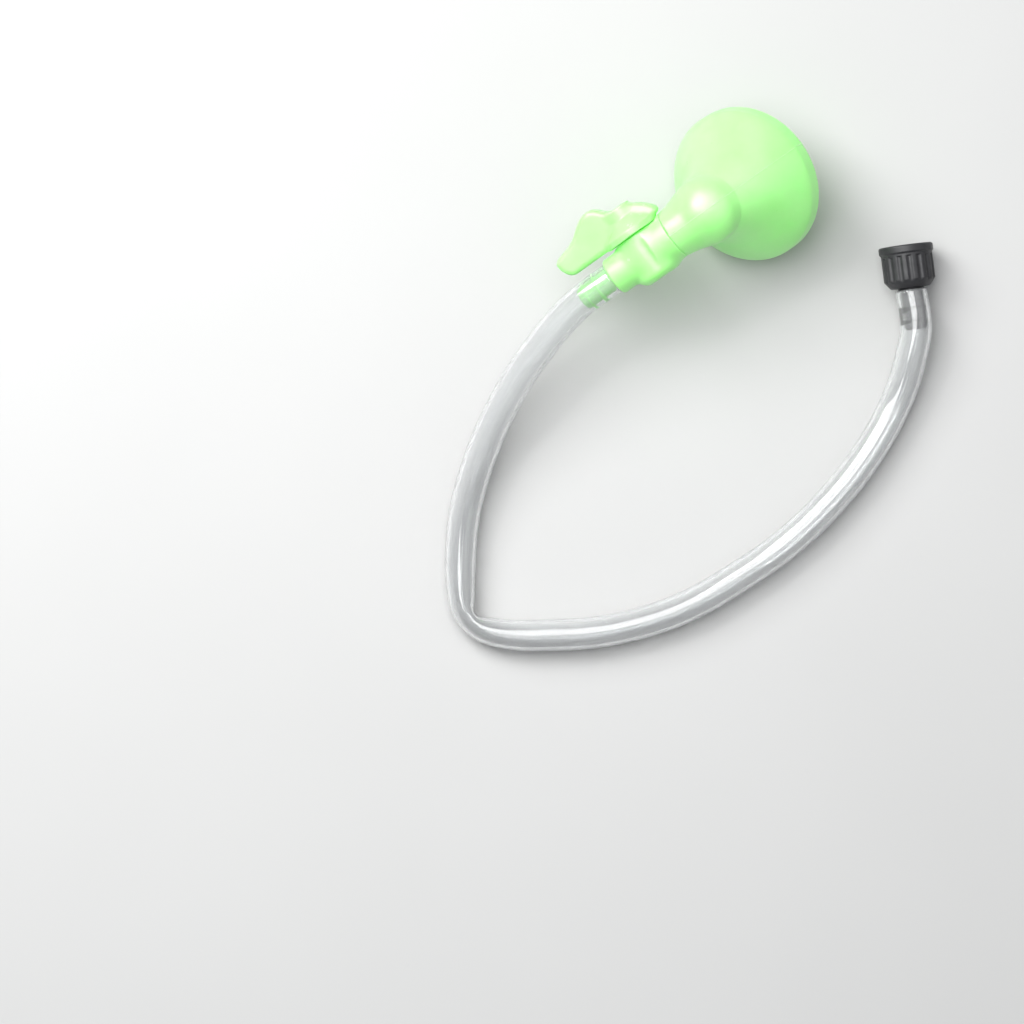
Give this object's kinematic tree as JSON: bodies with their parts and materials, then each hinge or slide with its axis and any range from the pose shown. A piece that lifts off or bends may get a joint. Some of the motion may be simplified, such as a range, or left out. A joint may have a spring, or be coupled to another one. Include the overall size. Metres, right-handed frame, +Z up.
{
  "type": "camp shower hose and head",
  "caption": "Clear flexible hose with a luminous shower head and quarter-turn stopcock on one end and a screw coupling for a water bag on the other.",
  "frame": {"origin": "on the floor under the middle of the head, measured without the hose and its coupling", "axes": "+X along the head from the barb to the rose, +Y to the lever's side, +Z up from the floor"},
  "size_m": [0.2458, 0.1655, 0.0605],
  "materials": {
    "luminous_green": "satin milky luminous green plastic",
    "clear_pvc": "clear flexible PVC with a glossy surface",
    "black_rubber": "plain black rubber",
    "black_plastic": "fine-grained black moulded plastic",
    "screw_steel": "bright turned steel"
  },
  "bodies": {
    "root": {"bell": "luminous_green", "rose_plate": "luminous_green", "rose_gasket": "black_rubber", "valve_body": "luminous_green", "neck_seal": "black_rubber", "bonnet_ring": "luminous_green", "hose": "clear_pvc", "hose_tail": "black_plastic", "coupling_washer": "black_rubber"},
    "handle": {"lever": "luminous_green", "lever_screw": "screw_steel", "valve_plug": "luminous_green", "plug_seal_upper": "black_rubber", "plug_seal_lower": "black_rubber"},
    "nut": {"coupling_nut": "black_plastic"}
  },
  "joints": [
    {"name": "lever_turn", "type": "hinge", "parent": "root", "child": "handle", "pos_m": [-0.02141, 0, 0.04211], "axis": [0, 1, 0], "range_deg": [0, 90]},
    {"name": "nut_turn", "type": "hinge", "parent": "root", "child": "nut", "pos_m": [0.058, -0.073, 0.0111], "axis": [0.4695, 0.8829, 0], "continuous": true}
  ]
}
